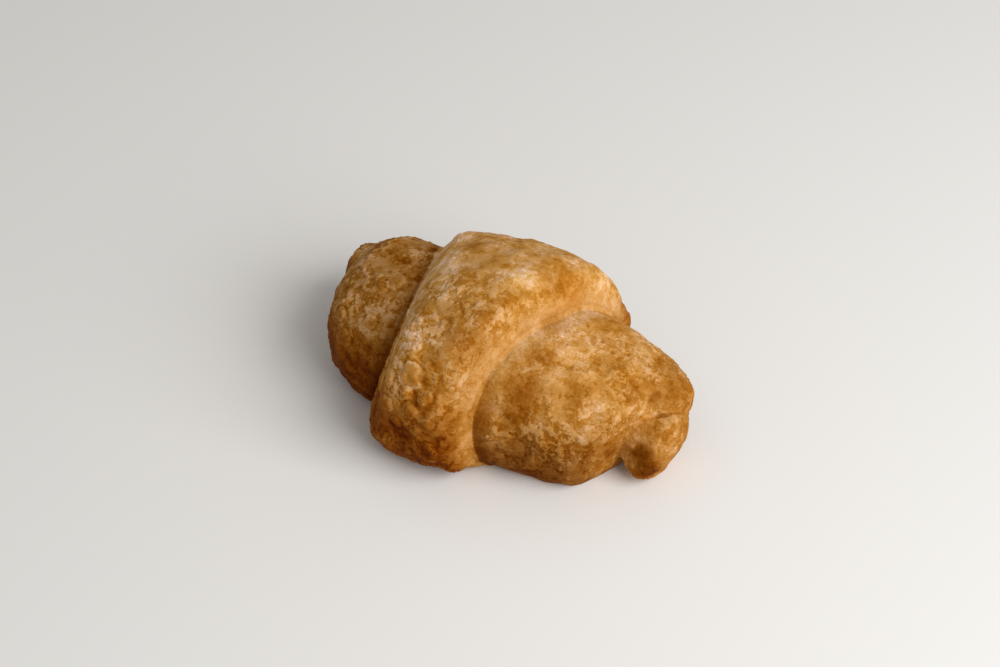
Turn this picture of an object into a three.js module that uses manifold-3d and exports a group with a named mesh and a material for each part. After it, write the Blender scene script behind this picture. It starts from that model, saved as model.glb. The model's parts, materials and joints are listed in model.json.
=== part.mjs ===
// A small puff-pastry croissant, rolled from one triangle of layered dough and baked on a flat tray.
// The roll shows as separate turns, from the tip behind its left end to the folded tip at its right end.
// Millimetres, +Z up. +X runs along the roll, and the origin is on the tray under the middle of its box.

import * as THREE from "three";
import { mergeVertices } from "three/addons/utils/BufferGeometryUtils.js";
import Module from "manifold-3d";

const wasm = await Module();
wasm.setup();

// Driving dimensions
// Each turn of dough lies between a left and a right edge, which may lean: x = at + leanY * y + leanZ * z.
// front, back and top say how far it reaches at that edge, and waist is the height where it is widest.
// foot is how far its rounded underside goes below the tray, or above it where that is negative.
// shoulder says how square its profile is at the edge, where 2 is a round end.
// An open edge closes to a rounded end. The others run on inside the neighbouring turns.
// swell is how much the middle bulges.
const BAND = {
  swell: 0.05,
  left: {
    at: -36, leanY: -0.13, leanZ: 0.28, shoulder: 4.8,
    front: -34.5, back: 30, top: 45.5, waist: 14, foot: 4,
  },
  right: {
    at: 16.8, leanY: 0.43, leanZ: -0.1, shoulder: 7,
    front: -37, back: 28.5, top: 48.5, waist: 13, foot: 4,
  },
};
const RIGHT_TURN = {
  swell: 0.05,
  left: {
    at: -10, leanY: 0.4, shoulder: 3,
    front: -30, back: 22, top: 44, waist: 13, foot: 4,
  },
  right: {
    at: 41, leanY: 0.44, leanZ: 0.2, shoulder: 6.5, open: true,
    front: -26.2, back: 13, top: 26.5, waist: 11, foot: 4,
  },
};
const RIGHT_FOLD = {
  swell: 0.04,
  left: {
    at: 18, shoulder: 3,
    front: -12, back: 15, top: 32.5, waist: 21.5, foot: -12,
  },
  right: {
    at: 50, leanY: 0.1, shoulder: 3.4, open: true,
    front: -5.5, back: 11, top: 23.5, waist: 16.5, foot: -10,
  },
};
const RIGHT_TIP = {
  swell: 0.03,
  left: {
    at: 25, shoulder: 3,
    front: -9, back: 8, top: 21, waist: 14, foot: -11,
  },
  right: {
    at: 49.4, leanY: 0.2, leanZ: 0.3, shoulder: 3.8, open: true,
    front: -16.3, back: 5, top: 18, waist: 3.5, foot: 1,
  },
};
const LEFT_TURN = {
  swell: 0.1,
  left: {
    at: -53, shoulder: 3, open: true,
    front: -15, back: 24, top: 31.5, waist: 12, foot: 3,
  },
  right: {
    at: -15, shoulder: 3,
    front: -20, back: 22, top: 35, waist: 13, foot: 3,
  },
};
const LEFT_TIP = {
  swell: 0.05,
  left: {
    at: -58, shoulder: 3.2, open: true,
    front: 11, back: 22.5, top: 21.5, waist: 10, foot: 1,
  },
  right: {
    at: -38, shoulder: 3,
    front: 0, back: 22.5, top: 27, waist: 11, foot: 1,
  },
};
const TURNS = [BAND, RIGHT_TURN, RIGHT_FOLD, RIGHT_TIP, LEFT_TURN, LEFT_TIP];

const SECTION_ROUNDNESS = 2.35; // exponent of the oval sections, where 2 is an ellipse
const BURIED_CORE = 0.65; // share of its section where a buried edge stops
const FACET = 2.05; // side of the facets
const OUTLINE_STEPS = 2000; // steps that measure the length of an outline

// Crust relief: broad lumps in the dough, crags, and blisters where the top layer puffed up
const LUMP_SIZE = 16;
const LUMP_DEPTH = 1;
const CRAG_SIZE = 5.5;
const CRAG_DEPTH = 0.6;
const BLISTER_PITCH = 8;
const BLISTER_RADIUS = [3, 5.5];
const BLISTER_HEIGHT = 1.1;
const BLISTER_SHARE = 0.7; // share of the lattice cells that hold a blister
const SMOOTH_LIP = [0.8, 0.97]; // shares of the section between which the relief fades in from an edge

const TRAY = { width: 400, depth: 100 };
const CRUST_COLOUR = 0xc68a45;
const CRUST_ROUGHNESS = 0.7;

const { lerp, smoothstep } = THREE.MathUtils;

// What each draw of random numbers is for.
const DRAW = { blister: 1, blisterX: 2, blisterY: 3, blisterZ: 4, blisterRadius: 5, lumps: 6, crags: 7 };

// A repeatable random number from 0 to 1 for one cell of a lattice.
function cellRandom(i, j, k, draw) {
  let bits = Math.imul(i, 0x27d4eb2d) ^ Math.imul(j, 0x165667b1);
  bits ^= Math.imul(k, 0x5bd1e995) ^ Math.imul(draw, 0x9e3779b9);
  bits = Math.imul(bits ^ (bits >>> 15), 0x85ebca6b);
  bits = Math.imul(bits ^ (bits >>> 13), 0xc2b2ae35);
  return ((bits ^ (bits >>> 16)) >>> 0) / 2 ** 32;
}

// Smooth noise from -1 to 1, with bumps about one size apart.
function noise(point, size, draw) {
  const inCells = point.clone().divideScalar(size);
  const cell = inCells.clone().floor();
  const inCell = inCells.sub(cell);
  const corner = (i, j, k) => cellRandom(cell.x + i, cell.y + j, cell.z + k, draw);
  const edge = (j, k) => lerp(corner(0, j, k), corner(1, j, k), smoothstep(inCell.x, 0, 1));
  const face = (k) => lerp(edge(0, k), edge(1, k), smoothstep(inCell.y, 0, 1));
  return 2 * lerp(face(0), face(1), smoothstep(inCell.z, 0, 1)) - 1;
}

// The height at a point of the round blister that one lattice cell may hold.
function cellBlister(point, i, j, k) {
  if (cellRandom(i, j, k, DRAW.blister) > BLISTER_SHARE) return 0;
  const centre = new THREE.Vector3(
    i + cellRandom(i, j, k, DRAW.blisterX),
    j + cellRandom(i, j, k, DRAW.blisterY),
    k + cellRandom(i, j, k, DRAW.blisterZ),
  ).multiplyScalar(BLISTER_PITCH);
  const radius = lerp(...BLISTER_RADIUS, cellRandom(i, j, k, DRAW.blisterRadius));
  const dome = Math.max(0, 1 - centre.distanceToSquared(point) / radius ** 2);
  return BLISTER_HEIGHT * dome ** 2;
}

function blisterHeight(point) {
  const cell = point.clone().divideScalar(BLISTER_PITCH).floor();
  const around = (middle) => [middle - 1, middle, middle + 1];
  let height = 0;
  for (const i of around(cell.x))
    for (const j of around(cell.y))
      for (const k of around(cell.z)) height = Math.max(height, cellBlister(point, i, j, k));
  return height;
}

function crustRelief(point) {
  const lumps = LUMP_DEPTH * noise(point, LUMP_SIZE, DRAW.lumps);
  const crags = CRAG_DEPTH * noise(point, CRAG_SIZE, DRAW.crags);
  return lumps + crags + blisterHeight(point);
}

// The outline of a turn along the roll: x is the way along it and y the reach of its section, in millimetres.
class TurnOutline extends THREE.Curve {
  constructor(turn) {
    super();
    this.turn = turn;
    this.size = new THREE.Vector2(turn.right.at - turn.left.at, Math.max(turn.left.top, turn.right.top) / 2);
    this.arcLengthDivisions = OUTLINE_STEPS;
  }

  getPoint(t) {
    const angle = Math.PI * t;
    const side = t < 0.5 ? this.turn.left : this.turn.right;
    const power = 2 / side.shoulder;
    const along = -Math.sign(Math.cos(angle)) * Math.abs(Math.cos(angle)) ** power;
    const reach = Math.abs(Math.sin(angle)) ** power;
    return new THREE.Vector2((1 + along) / 2, reach).multiply(this.size);
  }

  // Stations one facet apart, as shares of the way along and of the full section.
  stations() {
    const points = this.getSpacedPoints(Math.round(this.getLength() / FACET)).slice(1, -1);
    const edgeOf = (station) => (station.x < 0.5 ? this.turn.left : this.turn.right);
    const kept = (station) => edgeOf(station).open || station.y > BURIED_CORE;
    return points.map((point) => point.divide(this.size)).filter(kept);
  }
}

// A point on a turn's skin, from the share along it, the share of its section and the angle round it.
function skinPoint(turn, along, full, angle) {
  const size = (name) => lerp(turn.left[name], turn.right[name], along);
  const oval = (c) => Math.sign(c) * Math.abs(c) ** (2 / SECTION_ROUNDNESS);
  const grown = full * (1 + turn.swell * (1 - (2 * along - 1) ** 2));
  const halfWidth = (size("back") - size("front")) / 2;
  const halfHeight = Math.sin(angle) > 0 ? size("top") - size("waist") : size("waist") + size("foot");
  const y = size("front") + halfWidth + grown * halfWidth * oval(Math.cos(angle));
  const z = size("waist") + grown * halfHeight * oval(Math.sin(angle));
  const edgeX = ({ at, leanY = 0, leanZ = 0 }) => at + leanY * y + leanZ * z;
  return new THREE.Vector3(lerp(edgeX(turn.left), edgeX(turn.right), along), y, z);
}

// One turn as a closed mesh: rings of points round the roll, with a pole at each end.
function turnGeometry(turn) {
  const stations = new TurnOutline(turn).stations();
  const girths = [turn.left, turn.right].map(({ front, back, top }) => (Math.PI / 2) * (back - front + top));
  const spokes = Math.round(Math.max(...girths) / FACET);
  const pole = ({ open }, { x }) => skinPoint(turn, open ? Math.round(x) : x, 0, 0);
  const points = [pole(turn.left, stations[0])];
  const relief = [0];
  for (const station of stations)
    for (let spoke = 0; spoke < spokes; spoke++) {
      points.push(skinPoint(turn, station.x, station.y, (2 * Math.PI * spoke) / spokes));
      relief.push(smoothstep(station.y, ...SMOOTH_LIP));
    }
  points.push(pole(turn.right, stations[stations.length - 1]));
  relief.push(0);

  const at = (ring, spoke) => 1 + ring * spokes + (spoke % spokes);
  const lastRing = stations.length - 1;
  const lastPoint = points.length - 1;
  const faces = [];
  for (let spoke = 0; spoke < spokes; spoke++) {
    faces.push(0, at(0, spoke + 1), at(0, spoke));
    faces.push(lastPoint, at(lastRing, spoke), at(lastRing, spoke + 1));
    for (let ring = 0; ring < lastRing; ring++) {
      faces.push(at(ring, spoke), at(ring, spoke + 1), at(ring + 1, spoke));
      faces.push(at(ring + 1, spoke), at(ring, spoke + 1), at(ring + 1, spoke + 1));
    }
  }
  const geometry = new THREE.BufferGeometry().setFromPoints(points);
  geometry.setIndex(faces);
  geometry.computeVertexNormals();
  const position = geometry.getAttribute("position");
  const normal = geometry.getAttribute("normal");
  points.forEach((point, i) => {
    const outward = new THREE.Vector3().fromBufferAttribute(normal, i);
    position.setXYZ(i, ...point.addScaledVector(outward, relief[i] * crustRelief(point)));
  });
  return geometry;
}

function solidOf(geometry) {
  const bare = geometry.clone();
  for (const name of Object.keys(bare.attributes)) if (name !== "position") bare.deleteAttribute(name);
  const merged = mergeVertices(bare);
  return new wasm.Manifold(
    new wasm.Mesh({
      numProp: 3,
      vertProperties: new Float32Array(merged.attributes.position.array),
      triVerts: new Uint32Array(merged.index.array),
    }),
  );
}

function geometryOf(solid) {
  const { vertProperties, triVerts } = solid.getMesh();
  const geometry = new THREE.BufferGeometry();
  geometry.setAttribute("position", new THREE.BufferAttribute(new Float32Array(vertProperties), 3));
  geometry.setIndex(new THREE.BufferAttribute(new Uint32Array(triVerts), 1));
  geometry.computeVertexNormals();
  return geometry;
}

// The turns press into each other as one piece of dough, and the tray leaves its underside flat.
function bakedCroissant() {
  const rolled = TURNS.map((turn) => solidOf(turnGeometry(turn))).reduce((whole, turn) => whole.add(turn));
  const tray = new THREE.BoxGeometry(TRAY.width, TRAY.width, TRAY.depth).translate(0, 0, -TRAY.depth / 2);
  const geometry = geometryOf(rolled.subtract(solidOf(tray)));
  geometry.computeBoundingBox();
  const middle = geometry.boundingBox.getCenter(new THREE.Vector3());
  return geometry.translate(-middle.x, -middle.y, 0);
}

const crust = new THREE.MeshStandardMaterial({ color: CRUST_COLOUR, roughness: CRUST_ROUGHNESS });
const croissant = new THREE.Mesh(bakedCroissant(), crust);
croissant.name = "croissant";

const group = new THREE.Group();
group.add(croissant);
export default group;
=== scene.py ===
import json
import math

import bpy
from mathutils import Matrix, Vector

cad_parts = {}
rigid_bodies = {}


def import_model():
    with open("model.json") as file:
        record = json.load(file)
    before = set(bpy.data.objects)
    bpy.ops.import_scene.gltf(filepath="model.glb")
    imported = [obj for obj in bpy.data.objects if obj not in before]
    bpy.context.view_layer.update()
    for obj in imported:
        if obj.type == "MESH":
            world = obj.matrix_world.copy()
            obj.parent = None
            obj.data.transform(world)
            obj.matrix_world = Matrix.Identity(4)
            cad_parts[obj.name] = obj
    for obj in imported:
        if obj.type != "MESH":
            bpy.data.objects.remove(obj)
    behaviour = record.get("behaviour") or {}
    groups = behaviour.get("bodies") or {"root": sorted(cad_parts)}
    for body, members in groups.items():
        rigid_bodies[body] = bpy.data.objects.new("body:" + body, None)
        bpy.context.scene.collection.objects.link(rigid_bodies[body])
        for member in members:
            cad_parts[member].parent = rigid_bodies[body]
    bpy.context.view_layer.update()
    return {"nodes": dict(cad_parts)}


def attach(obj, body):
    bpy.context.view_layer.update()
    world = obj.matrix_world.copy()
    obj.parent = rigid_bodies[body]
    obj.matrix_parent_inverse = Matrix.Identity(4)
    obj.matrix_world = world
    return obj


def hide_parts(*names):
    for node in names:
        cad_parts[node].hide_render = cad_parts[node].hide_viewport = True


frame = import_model()


# The croissant: one piece of puff pastry, rolled up from a triangle of layered dough and baked through.
# Its form is the solid's. The top layers of dough blistered, tore and dried into thin flakes, which stand
# up from that form as relief, and the oven browned them unevenly.

VOXEL = 0.00036
MERGE_DISTANCE = 1e-6
ROUNDING = {"factor": 0.5, "iterations": 4}
CRUST_TRIANGLES = 190000
MM_PER_M = 1000


def finish_with(piece, kind, **settings):
    """Adds a modifier to a piece and applies it."""
    modifier = piece.modifiers.new(kind.title(), kind)
    for name, value in settings.items():
        setattr(modifier, name, value)
    bpy.context.view_layer.objects.active = piece
    bpy.ops.object.modifier_apply(modifier=modifier.name)


bpy.ops.object.select_all(action="DESELECT")
solid = frame["nodes"]["croissant"]
solid.select_set(True)
bpy.context.view_layer.objects.active = solid
bpy.ops.object.duplicate()
crust = bpy.context.object
bpy.ops.object.parent_clear(type="CLEAR_KEEP_TRANSFORM")
crust.name = crust.data.name = "crust"
crust.data.materials.clear()
bpy.ops.object.mode_set(mode="EDIT")
bpy.ops.mesh.select_all(action="SELECT")
bpy.ops.mesh.remove_doubles(threshold=MERGE_DISTANCE)
bpy.ops.object.mode_set(mode="OBJECT")
finish_with(crust, "REMESH", mode="VOXEL", voxel_size=VOXEL)
finish_with(crust, "SMOOTH", **ROUNDING)


class Field:
    """A value that varies over the crust: a node's output, which expressions build on."""

    tree = None

    def __init__(self, socket):
        self.socket = socket

    @classmethod
    def node(cls, kind, settings=None, sockets=None, output=0):
        """A new node's output. Its settings come first, then the values or links of its sockets."""
        node = cls.tree.nodes.new(kind)
        for name, value in (settings or {}).items():
            if name == "stops":
                cls.set_stops(node.color_ramp.elements, value)
            else:
                setattr(node, name, value)
        for name, value in (sockets or {}).items():
            if isinstance(value, Field):
                cls.tree.links.new(value.socket, node.inputs[name])
            else:
                node.inputs[name].default_value = value
        return cls(node.outputs[output] if node.outputs else None)

    @staticmethod
    def set_stops(elements, colours):
        while len(elements) < len(colours):
            elements.new(0.5)
        for index, (element, colour) in enumerate(zip(elements, colours)):
            element.position = index / (len(colours) - 1)
            element.color = colour

    def math(self, operation, *others):
        values = dict(enumerate((self, *others)))
        return self.node("ShaderNodeMath", {"operation": operation}, values)

    def __add__(self, other):
        return self.math("ADD", other)

    def __mul__(self, other):
        return self.math("MULTIPLY", other)

    def __sub__(self, other):
        return self.math("SUBTRACT", other)

    def __rsub__(self, other):
        return self.node("ShaderNodeMath", {"operation": "SUBTRACT"}, {0: other, 1: self})

    def __truediv__(self, other):
        return self.math("DIVIDE", other)

    __radd__ = __add__
    __rmul__ = __mul__

    def rise(self, low, high):
        """0 below low, 1 above high, and smooth between them."""
        settings = {"interpolation_type": "SMOOTHSTEP"}
        return self.node("ShaderNodeMapRange", settings, {"Value": self, "From Min": low, "From Max": high})

    def fall(self, low, high):
        """1 below low, 0 above high, and smooth between them."""
        return 1 - self.rise(low, high)

    def ridge(self, low, peak, high):
        """1 at the peak, 0 below low and above high, and smooth between them."""
        return self.rise(low, peak) - self.rise(peak, high)

    def vector(self, operation, other, output=0):
        return self.node("ShaderNodeVectorMath", {"operation": operation}, {0: self, 1: other}, output)

    def axis(self, name):
        return self.node("ShaderNodeSeparateXYZ", None, {"Vector": self}, name)


def noise(at, size, detail=2, roughness=0.5, output="Fac"):
    sockets = {"Vector": at, "Scale": 1 / size, "Detail": detail, "Roughness": roughness}
    return Field.node("ShaderNodeTexNoise", None, sockets, output)


def warped(at, size, reach):
    """Points moved about by up to half of reach, so that edges wander."""
    wander = noise(at, size, output="Color").vector("SUBTRACT", (0.5, 0.5, 0.5))
    return at.vector("ADD", wander.vector("MULTIPLY", (reach, reach, reach)))


# The turns' edges are leaning planes: x in millimetres at the origin, and how far it leans along y and z.
LIP = {"at": 18.5, "lean_y": 0.43, "lean_z": -0.1}
BAND_LEFT = {"at": -32.35, "lean_y": -0.13, "lean_z": 0.28}
TURN_RIGHT = {"at": 42.7, "lean_y": 0.44, "lean_z": 0.2}


def past(edge, at):
    """How far a point lies to the right of one of the roll's leaning edges, in millimetres."""
    return at.axis("X") - edge["at"] - edge["lean_y"] * at.axis("Y") - edge["lean_z"] * at.axis("Z")


def near(at, place, inner, outer):
    """1 within the inner radius of a place, 0 beyond the outer one."""
    return at.vector("DISTANCE", place, "Value").fall(inner, outer)


# The millimetres past an edge, or away from a crease, between which a zone begins or ends.
REACH = {
    "band": (-0.6, 0.6),
    "turn": (0, 0.6),
    "tip": (-2, 0),
    "lip": (-7.5, -4),
    "lip_round": (1.5, 7),
    "lip_foot": (1.5, 3),
    "strip": (7, 11),
    "strip_round": (1.5, 5.5),
    "turn_edge": (-5, -3),
    "turn_edge_round": (0.8, 2.4),
}
# How flaky each zone is, then its slopes: an axis, the millimetres below which more is added in full and
# above which it isn't, and how much more. The smoothed zones lose a share of it.
FLAKY = {
    "lobe": (1.25, []),
    "band": (0.58, [("Y", -10, 4, 0.35), ("Z", 20, 38, 0.6)]),
    "turn": (0.65, [("Z", 28, 34, 0.2), ("Z", 16, 28, 0.5)]),
}
SMOOTHED = {"lip": 0.6, "strip": 0.6, "tip": 0.4}


def by_zone(zone, at, table):
    """Each zone's own level of something, with more of it towards the foot or the front of the roll."""
    total = 0
    for name, (level, slopes) in table.items():
        for axis, low, high, more in slopes:
            level = level + more * at.axis(axis).fall(low, high)
        total = total + level * zone[name]
    return total


def crust_zones(at, from_crease):
    """How much each stretch of the roll holds a point, from 0 to 1, and how flaky the crust is there."""
    lip = past(LIP, at)
    edge = past(TURN_RIGHT, at)
    lobe = past(BAND_LEFT, at).fall(*REACH["band"])
    turn = lip.rise(*REACH["turn"])
    tip = edge.rise(*REACH["tip"])
    edge_round = from_crease.fall(*REACH["turn_edge_round"])
    zone = {
        "lobe": lobe,
        "band": (1 - lobe) * (1 - turn),
        "turn": turn,
        "tip": tip,
        "lip": lip.rise(*REACH["lip"]) * (1 - turn) * from_crease.fall(*REACH["lip_round"]),
        "strip": turn * lip.fall(*REACH["strip"]) * from_crease.fall(*REACH["strip_round"]),
        "lip_foot": lip.math("ABSOLUTE").fall(*REACH["lip_foot"]),
        "turn_edge": edge.rise(*REACH["turn_edge"]) * (1 - tip) * edge_round,
    }
    flaky = by_zone(zone, at, FLAKY)
    for name, share in SMOOTHED.items():
        flaky = flaky * (1 - share * zone[name])
    return zone | {"flaky": flaky}


# The crust's pattern: sizes and heights in millimetres, with depths of amber and of paleness.
# A wander is the size and the reach by which points are moved about.
CLOUDS = {"size": 8, "wander": (14, 6), "height": 0.7, "amber": 1.2, "amber_from": (0.36, 0.64)}
MOTTLE = {"size": 2.6, "height": 0.2, "pale": 1.6}
GRAIN = {"size": 0.7, "roughness": 0.6, "height": 0.08, "pale": 2, "pale_on_turn": 0.8}
LIP_TEXTURE_LOSS = 0.2
LIP_AMBER_LOSS = 0.75
FILMS = [
    {"size": 6, "thickness": 0.2, "amber": 1.2, "pale": 0.3},
    {"size": 2.6, "thickness": 0.22, "amber": 2.2, "pale": 0.6},
]
# How far a film's pattern is shifted, how wide its tears are and how far its edges wander, in its sizes.
FILM = {"shift": 40, "tears": 3, "wander": 0.6}
FILM_NOISE = {"detail": 4, "roughness": 0.6}
TEAR_NOISE = {"detail": 1}
# The levels of a film's noise, and of its tears', where its parts begin and end.
HOLE = {"film": (0.36, 0.48), "torn": (0.42, 0.58), "sink": 0.5}
FLAKE = {"film": (0.51, 0.56), "torn": (0.44, 0.54), "cover": 0.5}
# A hem is a film's pale edge, partly painted highlight; a gap is the amber line beside it, partly painted
# shadow.
HEM_AND_HIGHLIGHT = {"film": (0.49, 0.52, 0.58)}
GAP_AND_SHADOW = {"film": (0.43, 0.47, 0.5), "amber": 0.7}
TORN_EDGE = (0.4, 0.52)
PALEST_FILM = 0.8


def add_films(pattern, at, flaky):
    """Torn, lifted films of dough: pale flakes, hems partly painted highlight, amber holes, gaps partly
    painted shadow.
    """
    for sheet in FILMS:
        size = sheet["size"]
        spot = at.vector("ADD", (0, 0, FILM["shift"] * size))
        torn = noise(spot, FILM["tears"] * size, **TEAR_NOISE)
        film = noise(warped(spot, size, FILM["wander"] * size), size, **FILM_NOISE)
        hole = film.fall(*HOLE["film"]) * torn.fall(*HOLE["torn"]) * flaky
        flake = film.rise(*FLAKE["film"]) * torn.rise(*FLAKE["torn"]) * flaky
        torn_edge = torn.rise(*TORN_EDGE) * flaky
        # Amber in holes, and in gaps that are partly painted shadow.
        bared_and_shadowed = hole + GAP_AND_SHADOW["amber"] * film.ridge(*GAP_AND_SHADOW["film"]) * torn_edge
        covered = FLAKE["cover"] * flake.math("MINIMUM", 1)
        pattern["height"] += sheet["thickness"] * (flake - HOLE["sink"] * hole)
        pattern["amber"] = (pattern["amber"] + sheet["amber"] * bared_and_shadowed) * (1 - covered)
        # Pale flakes, and hems that are partly painted highlight.
        pattern["pale"] += sheet["pale"] * (flake + film.ridge(*HEM_AND_HIGHLIGHT["film"]) * torn_edge)
    pattern["pale"] = pattern["pale"].math("MINIMUM", PALEST_FILM)


# Each blister's place, radius and rise in millimetres.
BLISTERS = [
    ((-10.1, -29.3, 34.7), 3.6, 0.7),
    ((-20.7, -25.7, 25.6), 2.8, 0.6),
    ((-16, -28.5, 31), 2.2, 0.5),
    ((-10, -31.6, 30.7), 2.0, 0.5),
    ((-5, -32, 31), 2.2, 0.4),
    ((-8.4, -33.4, 26.4), 2.5, 0.6),
    ((-16, -32.2, 24.9), 2.4, 0.6),
    ((-13, -33.5, 20), 2.0, 0.4),
    ((-3.5, -34, 24), 2.2, 0.4),
    ((-32.3, -2.3, 34.3), 2.4, 0.4),
    ((-28.9, -0.2, 35), 2.4, 0.4),
    ((-41.4, -8.9, 26.8), 2.2, 0.4),
    ((-31.3, -11.3, 29.3), 2.0, 0.4),
    ((-37.9, -13.1, 22.5), 2.4, 0.4),
    ((38.4, 1.9, 30.1), 3.2, 0.12),
    ((41.6, -0.3, 28.3), 2.3, 0.12),
]
BLISTER_WANDERS = [(4, 3), (1.6, 1.2)]
# A blister's parts in shares of its radius, and how strong they are.
DOME = {"edge": (0.4, 1.1), "height": 1.4}
DISC = (0.85, 1.05)
HEART = {"edge": (0.3, 0.95), "amber": 1.6}
RIM = {"edge": (0.6, 0.95, 1.1), "pale": 1.5}
OUTLINE = {"edge": (1, 1.15, 1.5), "amber": 3}
BROKEN = {"size": 2.5, "edge": (0.36, 0.56)}


def add_blisters(pattern, at):
    """Bubbles of film: each has an amber heart, a broken pale rim and a broken amber line round it."""
    wandering = at
    for wander in BLISTER_WANDERS:
        wandering = warped(wandering, *wander)
    broken = noise(at, BROKEN["size"]).rise(*BROKEN["edge"])
    for place, radius, rise in BLISTERS:
        away = wandering.vector("DISTANCE", place, "Value") / radius
        disc = rise * away.fall(*DISC)
        heart = HEART["amber"] * disc * away.fall(*HEART["edge"])
        outline = OUTLINE["amber"] * rise * broken * away.ridge(*OUTLINE["edge"])
        rim = RIM["pale"] * rise * broken * away.ridge(*RIM["edge"])
        pattern["height"] += DOME["height"] * rise * away.fall(*DOME["edge"])
        pattern["amber"] = pattern["amber"] * (1 - disc) + heart + outline
        pattern["pale"] = pattern["pale"] * (1 - disc) + rim


PITS = [(30.9, -2.9, 32), (32.6, 2.4, 32.3), (29, 4, 33.5), (36, 4.5, 31)]
PIT = {"inner": 0.3, "outer": 0.8, "depth": 0.4, "amber": 1.3}
CRACK = {"size": 5.5, "wander": (3, 3), "width": (0.01, 0.05), "depth": 0.1}
CRACKED = {"size": 4, "edge": (0.56, 0.66)}


def add_pits_and_cracks(pattern, at, flaky):
    """Burst pits on the right turn, and fine cracks between flakes, in patches. Both show amber."""
    for place in PITS:
        pit = near(at, place, PIT["inner"], PIT["outer"])
        pattern["height"] -= PIT["depth"] * pit
        pattern["amber"] += PIT["amber"] * pit
    sockets = {"Vector": warped(at, *CRACK["wander"]), "Scale": 1 / CRACK["size"]}
    to_crack = Field.node("ShaderNodeTexVoronoi", {"feature": "DISTANCE_TO_EDGE"}, sockets, "Distance")
    crack = to_crack.fall(*CRACK["width"]) * noise(at, CRACKED["size"]).rise(*CRACKED["edge"]) * flaky
    pattern["height"] -= CRACK["depth"] * crack
    pattern["amber"] += crack


def crust_pattern(at, zone):
    """The crust's height and its finest height in millimetres, its depth of amber and its paleness."""
    textured = 1 - LIP_TEXTURE_LOSS * zone["lip"]
    clouds = noise(warped(at, *CLOUDS["wander"]), CLOUDS["size"])
    mottle = noise(at, MOTTLE["size"]) - 0.5
    grain = noise(at, GRAIN["size"], roughness=GRAIN["roughness"]) - 0.5
    pattern = {
        "height": MOTTLE["height"] * mottle * textured + CLOUDS["height"] * (clouds - 0.5),
        "fine": GRAIN["height"] * grain * textured,
        "amber": CLOUDS["amber"] * clouds.rise(*CLOUDS["amber_from"]) * (1 - LIP_AMBER_LOSS * zone["lip"]),
        "pale": 0,
    }
    add_films(pattern, at, zone["flaky"])
    grain_pale = GRAIN["pale"] + GRAIN["pale_on_turn"] * zone["turn"]
    pattern["pale"] -= (MOTTLE["pale"] * mottle + grain_pale * grain) * textured
    add_blisters(pattern, at)
    add_pits_and_cracks(pattern, at, zone["flaky"])
    return pattern


def kept_on_points(geometry, name, value, data_type="FLOAT"):
    """The geometry, with a value stored on its points for the material to read."""
    settings = {"data_type": data_type, "domain": "POINT"}
    sockets = {"Geometry": geometry, "Name": name, "Value": value}
    return Field.node("GeometryNodeStoreNamedAttribute", settings, sockets)


def stored(name, data_type="FLOAT"):
    return Field.node("GeometryNodeInputNamedAttribute", {"data_type": data_type}, {"Name": name})


# A point is in a crease where it lies this far below the blurred surface, in millimetres.
# Away from the turns' edges more is asked, and on the tip only a little more.
BLUR_STEPS = 20
CREASE = {"depth": 0.07, "more": 0.16, "from_edges": (0.8, 1.8), "tip_share": 0.8, "tip": (0, 2)}
CREASE_SHARE = (0.5, 1.5)
IN_CREASE = 0.5
# The fold beside the tip, the grooves in the creases, the lip's roll and the height where the foot ends.
FOLD = {"from_edge": (1.5, 3), "end": (48, 54), "fill": 3}
GROOVE = {"fold": 0.25, "lobe": 0.2, "lip_foot": 0.2}
LIP_ROLL = {"height": 0.35, "from_crease": (1, 4)}
STRIP_SINK = 0.3
TRAY_SIDE = (0.3, 2.5)

relief = Field.tree = bpy.data.node_groups.new("relief", "GeometryNodeTree")
for in_out in ("INPUT", "OUTPUT"):
    relief.interface.new_socket("Geometry", in_out=in_out, socket_type="NodeSocketGeometry")
roll = Field.node("NodeGroupInput")
position = Field.node("GeometryNodeInputPosition")
normal = Field.node("GeometryNodeInputNormal")
rest = position.vector("MULTIPLY", (MM_PER_M, MM_PER_M, MM_PER_M))
roll = kept_on_points(roll, "rest", rest, "FLOAT_VECTOR")
blur = {0: rest, "Iterations": BLUR_STEPS}
blurred = Field.node("GeometryNodeBlurAttribute", {"data_type": "FLOAT_VECTOR"}, blur)
hollow = blurred.vector("SUBTRACT", rest).vector("DOT_PRODUCT", normal, "Value")
from_edges = past(LIP, rest).math("ABSOLUTE")
for turn_edge in (BAND_LEFT, TURN_RIGHT):
    from_edges = from_edges.math("MINIMUM", past(turn_edge, rest).math("ABSOLUTE"))
on_tip = CREASE["tip_share"] * past(TURN_RIGHT, rest).rise(*CREASE["tip"])
deep = CREASE["depth"] + CREASE["more"] * from_edges.rise(*CREASE["from_edges"]) * (1 - on_tip)
roll = kept_on_points(roll, "crease", (hollow / deep).rise(*CREASE_SHARE))
crease = stored("crease")
in_creases = {"Geometry": roll, "Selection": crease.math("GREATER_THAN", IN_CREASE)}
creases = Field.node("GeometryNodeSeparateGeometry", {"domain": "POINT"}, in_creases)
to_creases = {"Geometry": creases, "Sample Position": position}
distance = Field.node("GeometryNodeProximity", {"target_element": "POINTS"}, to_creases, "Distance")
roll = kept_on_points(roll, "from_crease", MM_PER_M * distance)

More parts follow.
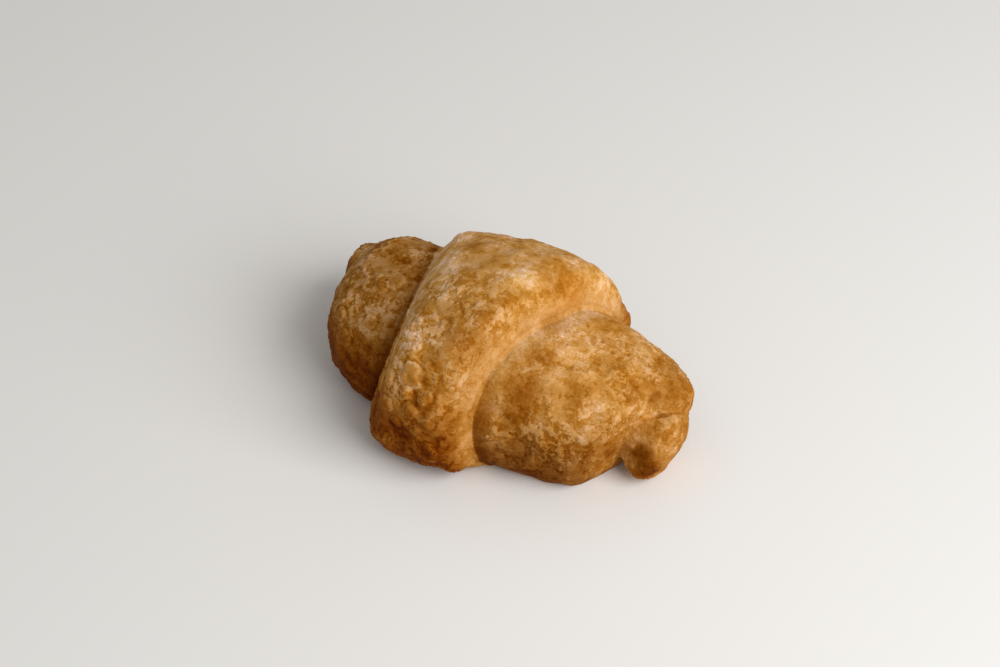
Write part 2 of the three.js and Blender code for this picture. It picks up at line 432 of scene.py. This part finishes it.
at = stored("rest", "FLOAT_VECTOR")
from_crease = stored("from_crease")
zone = crust_zones(at, from_crease)
height = crust_pattern(at, zone)["height"]
fold = past(TURN_RIGHT, at).rise(*FOLD["from_edge"]) * (1 - FOLD["fill"] * at.axis("X").rise(*FOLD["end"]))
groove = GROOVE["fold"] * fold + GROOVE["lobe"] * zone["lobe"] + GROOVE["lip_foot"] * zone["lip_foot"]
height = height * (1 - crease) - crease * groove
height = height + LIP_ROLL["height"] * zone["lip"] * from_crease.fall(*LIP_ROLL["from_crease"])
height = height - STRIP_SINK * zone["strip"]
lift = {0: normal, "Scale": 1 / MM_PER_M * height * at.axis("Z").rise(*TRAY_SIDE)}
move = Field.node("ShaderNodeVectorMath", {"operation": "SCALE"}, lift)
raised = Field.node("GeometryNodeSetPosition", None, {"Geometry": roll, "Offset": move})
Field.node("NodeGroupOutput", None, {0: raised})
finish_with(crust, "NODES", node_group=relief)
finish_with(crust, "DECIMATE", ratio=min(1, CRUST_TRIANGLES / 2 / len(crust.data.polygons)))
bpy.ops.object.select_all(action="DESELECT")
crust.select_set(True)
bpy.ops.object.shade_smooth()

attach(crust, "root")
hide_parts("croissant")

# The bake: pale dough, and how fast each depth of browning or of amber takes its red, green and blue away.
PALE_DOUGH = (0.66, 0.378, 0.158)
BROWNING = {"rates": (0.29, 0.45, 0.85), "from": -2, "to": 7}
AMBERING = {"rates": (0.17, 0.31, 0.85), "from": -1, "to": 5}
STOPS = 9
PALE_SHARE = 0.5
# How deep each zone is browned, with slopes as for the flakes; the browner feet are partly painted shade.
BAKED_AND_SHADED = {
    "lobe": (0.8, [("Z", 14, 29, 3.8)]),
    "band": (0.35, [("Y", -18, 4, 0.7), ("Z", 14, 36, 3.1)]),
    "turn": (0.5, [("Z", 30, 36, 0.3), ("Z", 10, 26, 2.2)]),
    "tip": (0.4, [("Z", 10, 26, -1.9)]),
}
LIP_BAKED = {"lip": (0.5, [("Z", 12, 30, 0.2), ("Z", 34, 40, 0.4)])}
# The strip browns deeper towards its foot: partly amber, partly painted shade from the lip.
STRIP_BAKED_AND_SHADED = {"strip": (-0.7, [("Z", 22, 36, 2.6)])}
LIP_OWN = 0.8
# Painted shade: browner in the lobe's crease beside the band.
LOBE_CREASE_SHADE = {"bake_and_shade": 1.3, "from_crease": (0.3, 4)}
BAND_EDGE = {"bake_and_shade": 0.8, "from_edge": (4, 14)}
TURN_EDGE_BAKE = 1.8
# Painted shade: browner in the crease between the fold and the tip.
FOLD_CREASE_SHADE = {"bake_and_shade": 2, "end": (49, 54)}
SHOULDER = (18, 10.5, 41.5)
SHOULDER_RADII = (2, 9)
# Each patch's place, the radii where it starts to fade and has faded, and its depth of browning.
SPOTS = {
    "pale_patch": ((6.7, 2.2, 49.3), 1, 6, -1),
    "orange_shoulder": (SHOULDER, *SHOULDER_RADII, 0.8),
    "cream_wall": ((24, 20.6, 31.4), 5, 11, -0.6),
    "amber_crest": ((-12.4, 12.2, 44.7), 1, 6, 0.7),
    "amber_round": ((4.2, -12.8, 48.4), 1.5, 3.2, 0.8),
    "amber_middle": ((-1.8, -20.5, 44.3), 1, 5, 0.7),
    "amber_band": ((3, -21, 42), 2, 8, 0.7),
    "amber_front": ((-11.8, -33.3, 16.8), 1, 6, 0.6),
    "amber_blisters": ((-5, -30, 34), 2, 8, 0.6),
    "pale_film": ((-7, -22.7, 42), 1, 5, -0.6),
    "orange_crest": ((13.4, 7, 45.8), 1, 6, 0.8),
    "amber_lip": ((15.8, 1.6, 37.1), 1, 6, 0.8),
    "lip_side": ((11.3, -5.8, 40.8), 1, 5, 0.5),
    "amber_strip": ((18.5, -10, 35.5), 1, 6, 1.3),
    # Amber beside the lip, deepened as painted shade from the lip.
    "amber_and_shade_left": ((16.5, -17.3, 31.6), 1, 7, 1.5),
    "amber_and_shade_low": ((16.3, -21.1, 26.6), 2, 7, 1.3),
    "amber_turn": ((30.3, -13.3, 30.1), 1, 5, 0.7),
    "fold_valley": ((41.5, -4.5, 27.5), 1, 4, 1.0),
    "amber_rim": ((39, -13.5, 12.5), 1, 5, 1.3),
    "fold": ((47, 6, 24), 5, 10, 0.6),
    "tip_front": ((47.8, -10.6, 12), 1, 5, 2.8),
    "tip_bottom": ((49.6, -10.6, 7), 1, 5, 4),
    "tip_hollow": ((45.2, -4.2, 20.8), 1, 4, -1),
    "strip_end": ((8, -27, 16), 2, 6, -1.4),
    "gold_edge": ((19.8, -24, 7.1), 2, 7, 0.8),
    "left_tip": ((-50, 15.6, 22.6), 4, 8, -2.2),
}
SPOT_WANDER = (5, 2.5)


def bake_and_shade_depth(at, zone, crease, from_crease):
    """Browning depth by zone, creases and patches, partly painted shade in creases, beside the lip and low
    down.
    """
    # Zone browning, with painted shade at the feet.
    bake_and_shade = by_zone(zone, at, BAKED_AND_SHADED)
    # Painted shade in the lobe's crease.
    bake_and_shade = bake_and_shade + LOBE_CREASE_SHADE["bake_and_shade"] * zone["lobe"] * from_crease.fall(*LOBE_CREASE_SHADE["from_crease"])
    bake_and_shade = bake_and_shade - BAND_EDGE["bake_and_shade"] * zone["band"] * past(BAND_LEFT, at).fall(*BAND_EDGE["from_edge"])
    bake_and_shade = bake_and_shade + TURN_EDGE_BAKE * zone["turn_edge"]
    bake_and_shade = bake_and_shade * (1 - LIP_OWN * zone["lip"]) + LIP_OWN * by_zone(zone, at, LIP_BAKED)
    # The strip's deeper foot: amber, and painted shade from the lip.
    bake_and_shade = bake_and_shade + by_zone(zone, at, STRIP_BAKED_AND_SHADED)
    # Painted shade in the fold's crease above the tip.
    in_fold = crease * past(TURN_RIGHT, at).rise(*FOLD["from_edge"]) * at.axis("X").fall(*FOLD_CREASE_SHADE["end"])
    bake_and_shade = bake_and_shade + FOLD_CREASE_SHADE["bake_and_shade"] * in_fold
    wandering = warped(at, *SPOT_WANDER)
    for place, inner, outer, depth in SPOTS.values():
        bake_and_shade = bake_and_shade + depth * near(wandering, place, inner, outer)
    return bake_and_shade


def browned(tone, depth, scale):
    """What is left of a tone at a depth of browning, which takes each colour away at its own rate."""
    shallow = scale["from"]
    span = scale["to"] - shallow
    stops = []
    for step in range(STOPS):
        at_stop = shallow + span * step / (STOPS - 1)
        stops.append([part * math.exp(-rate * at_stop) for part, rate in zip(tone, scale["rates"])] + [1])
    return Field.node("ShaderNodeValToRGB", {"stops": stops}, {"Fac": (depth - shallow) / span}, "Color")


def multiplied(colour, share, tint):
    settings = {"data_type": "RGBA", "blend_type": "MULTIPLY"}
    return Field.node("ShaderNodeMix", settings, {0: share, 6: colour, 7: tint}, 2)


def point_value(name, output="Fac"):
    """What the relief stored on the crust's points."""
    return Field.node("ShaderNodeAttribute", {"attribute_name": name}, None, output)


# Two tints, and the millimetres between which each zone takes them on: painted shade, and a buttery tone
# with painted light.
# Painted shade: a grey that darkens the upper strip below the lip, the lobe above its foot and the foot of
# the turn.
PAINTED_SHADE = (0.8, 0.79, 0.8, 1)
PAINTED_SHADE_HEIGHTS = {"strip": (28, 34), "lobe": (14, 26), "turn_foot": (16, 30)}
# Buttery orange, partly the crust's own tone and partly painted light: shoulder sheen, the lip, band and
# lobe foot.
BUTTERY_TONE_AND_LIGHT = (1.05, 0.96, 0.7, 1)
BUTTERED_AND_LIT = {"lip": (8, 14), "foot": (16, 32)}
TINT_SHARE = 0.9
LIP_BUTTER_AND_LIGHT = 0.15
ROUGHNESS = {"plain": 0.72, "baked": 0.5, "from": (1, 4)}
GRAIN_BUMP = 0.6
SPECULAR = 0.01

skin = bpy.data.materials.new("baked_crust")
skin.use_nodes = True
Field.tree = skin.node_tree
at = point_value("rest", "Vector")
crease = point_value("crease")
from_crease = point_value("from_crease")
y = at.axis("Y")
z = at.axis("Z")
zone = crust_zones(at, from_crease)
pattern = crust_pattern(at, zone)
amber = pattern["amber"]
pale = pattern["pale"]
bake_and_shade = bake_and_shade_depth(at, zone, crease, from_crease)
# How much painted shade each point takes.
painted_shade_share = zone["strip"] * z.rise(*PAINTED_SHADE_HEIGHTS["strip"])
painted_shade_share = painted_shade_share + TINT_SHARE * zone["lobe"] * z.rise(*PAINTED_SHADE_HEIGHTS["lobe"])
painted_shade_share = painted_shade_share + TINT_SHARE * zone["turn"] * (1 - zone["tip"]) * z.fall(*PAINTED_SHADE_HEIGHTS["turn_foot"])
# The buttery orange, partly painted sheen on the shoulder and painted light on the lip and the foot.
buttery_and_lit = near(at, SHOULDER, *SHOULDER_RADII)
buttery_and_lit = buttery_and_lit + LIP_BUTTER_AND_LIGHT * zone["lip"] * y.fall(*BUTTERED_AND_LIT["lip"])
buttery_and_lit = buttery_and_lit + TINT_SHARE * (1 - zone["turn"]) * (1 - zone["lip"]) * z.fall(*BUTTERED_AND_LIT["foot"])
# Browned by the bake depth, which holds painted shade as well.
colour = browned(PALE_DOUGH, bake_and_shade - PALE_SHARE * pale, BROWNING)
colour = multiplied(colour, 1, browned((1, 1, 1), amber - PALE_SHARE * pale, AMBERING))
# The grey painted shade.
colour = multiplied(colour, painted_shade_share.math("MINIMUM", 1), PAINTED_SHADE)
# The buttery orange with its painted light.
colour = multiplied(colour, buttery_and_lit.math("MINIMUM", 1), BUTTERY_TONE_AND_LIGHT)
glazed = (bake_and_shade + amber - pale).rise(*ROUGHNESS["from"])
roughness = ROUGHNESS["plain"] - (ROUGHNESS["plain"] - ROUGHNESS["baked"]) * glazed
grained = {"Strength": GRAIN_BUMP, "Distance": 1 / MM_PER_M, "Height": pattern["fine"]}
bump = Field.node("ShaderNodeBump", None, grained, "Normal")
shader = skin.node_tree.nodes["Principled BSDF"]
for name, value in {"Base Color": colour, "Roughness": roughness, "Normal": bump}.items():
    Field.tree.links.new(value.socket, shader.inputs[name])
shader.inputs["Specular IOR Level"].default_value = SPECULAR
crust.data.materials.append(skin)


# The studio: a plain, pale, matt floor that the croissant lies on. It isn't part of the croissant.
# A large soft light shines from above on the right, with a dim, even light all round.
# The camera looks down from the front right, placed so that the origin lands on its pixel in the picture.

FLOOR_SIZE = 6
FLOOR_COLOUR = (0.82, 0.81, 0.79, 1)
FLOOR_ROUGHNESS = 0.8
SKY_COLOUR = (1, 0.97, 0.93, 1)
SKY_STRENGTH = 0.4
KEY_PLACE = (0.69, -0.157, 0.56)
KEY_SIZE = 0.7
KEY_WATTS = 8.3

bpy.ops.mesh.primitive_plane_add(size=FLOOR_SIZE)
floor = bpy.context.object
floor.name = "floor"
paint = bpy.data.materials.new("pale_floor")
paint.use_nodes = True
matt = paint.node_tree.nodes["Principled BSDF"]
matt.inputs["Base Color"].default_value = FLOOR_COLOUR
matt.inputs["Roughness"].default_value = FLOOR_ROUGHNESS
floor.data.materials.append(paint)

world = bpy.data.worlds.new("studio")
bpy.context.scene.world = world
world.use_nodes = True
sky = world.node_tree.nodes["Background"]
sky.inputs["Color"].default_value = SKY_COLOUR
sky.inputs["Strength"].default_value = SKY_STRENGTH

bpy.ops.object.light_add(type="AREA", location=KEY_PLACE)
key = bpy.context.object
key.name = "key"
key.data.size = KEY_SIZE
key.data.energy = KEY_WATTS
key.rotation_euler = (-Vector(KEY_PLACE)).to_track_quat("-Z", "Y").to_euler()

PICTURE = (1000, 667)
ORIGIN_PIXEL = (494.7, 404.6)
FOCAL_PIXELS = 1963
SENSOR = 36
DISTANCE = 0.54102
AZIMUTH = math.radians(24.6)
ELEVATION = math.radians(45)
NEAREST = 0.01

back = Vector((
    math.sin(AZIMUTH) * math.cos(ELEVATION),
    -math.cos(AZIMUTH) * math.cos(ELEVATION),
    math.sin(ELEVATION),
))
right = Vector((math.cos(AZIMUTH), math.sin(AZIMUTH), 0))
up = back.cross(right)
pixel = DISTANCE / FOCAL_PIXELS
aside = (PICTURE[0] / 2 - ORIGIN_PIXEL[0]) * pixel
above = (ORIGIN_PIXEL[1] - PICTURE[1] / 2) * pixel
bpy.ops.object.camera_add(location=back * DISTANCE + right * aside + up * above)
camera = bpy.context.object
camera.rotation_euler = (-back).to_track_quat("-Z", "Y").to_euler()
camera.data.sensor_width = SENSOR
camera.data.lens = FOCAL_PIXELS * SENSOR / PICTURE[0]
camera.data.clip_start = NEAREST
bpy.context.scene.camera = camera
bpy.context.scene.view_settings.view_transform = "Standard"
